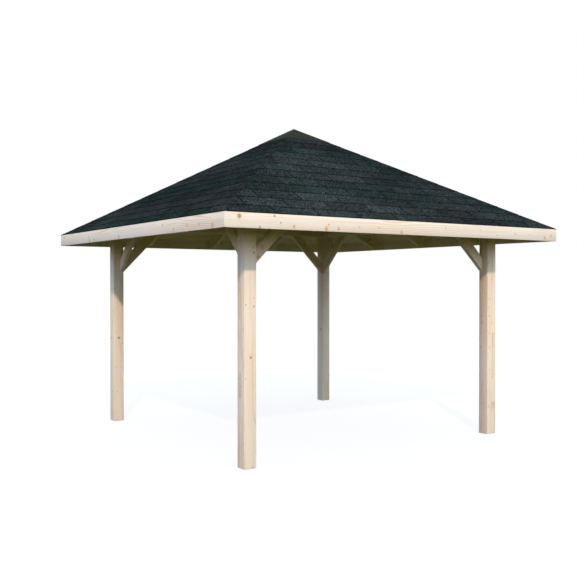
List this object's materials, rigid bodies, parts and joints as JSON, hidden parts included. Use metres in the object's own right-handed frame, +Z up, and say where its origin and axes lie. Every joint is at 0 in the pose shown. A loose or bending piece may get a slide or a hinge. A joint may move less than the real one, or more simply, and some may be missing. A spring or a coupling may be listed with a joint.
{
  "type": "garden gazebo",
  "caption": "Open square timber garden gazebo: braced corner posts, a beam ring and a low hipped roof of boards under dark shingles, with deep eaves.",
  "frame": {"origin": "on the ground, at the middle of the square plan", "axes": "+Z up; the front side faces -Y and the right side faces +X"},
  "size_m": [3.972, 3.972, 3.3187],
  "materials": {
    "planed_timber": "bare planed spruce, matt, with knots",
    "rafter_timber": "bare planed spruce, matt",
    "roof_board": "bare tongue and groove spruce boards, matt",
    "bitumen_shingle": "mineral granules on bitumen, dark green and grey, rough",
    "cap_sheet": "plain dark olive coating, satin"
  },
  "bodies": {
    "root": {"post_front_left": "planed_timber", "post_front_right": "planed_timber", "post_back_left": "planed_timber", "post_back_right": "planed_timber", "beam_front": "planed_timber", "beam_back": "planed_timber", "beam_left": "planed_timber", "beam_right": "planed_timber", "brace_front_left": "planed_timber", "brace_front_right": "planed_timber", "brace_back_left": "planed_timber", "brace_back_right": "planed_timber", "brace_left_front": "planed_timber", "brace_left_back": "planed_timber", "brace_right_front": "planed_timber", "brace_right_back": "planed_timber", "hip_rafter_front_left": "rafter_timber", "hip_rafter_front_right": "rafter_timber", "hip_rafter_back_left": "rafter_timber", "hip_rafter_back_right": "rafter_timber", "common_rafter_front": "rafter_timber", "common_rafter_back": "rafter_timber", "common_rafter_left": "rafter_timber", "common_rafter_right": "rafter_timber", "jack_rafters_front": "rafter_timber", "jack_rafters_back": "rafter_timber", "jack_rafters_left": "rafter_timber", "jack_rafters_right": "rafter_timber", "king_block": "rafter_timber", "fascia_front": "planed_timber", "fascia_back": "planed_timber", "fascia_left": "planed_timber", "fascia_right": "planed_timber", "roof_boards_front": "roof_board", "roof_boards_back": "roof_board", "roof_boards_left": "roof_board", "roof_boards_right": "roof_board", "shingles_front": "bitumen_shingle", "shingles_back": "bitumen_shingle", "shingles_left": "bitumen_shingle", "shingles_right": "bitumen_shingle", "apex_cap": "cap_sheet"}
  },
  "joints": []
}
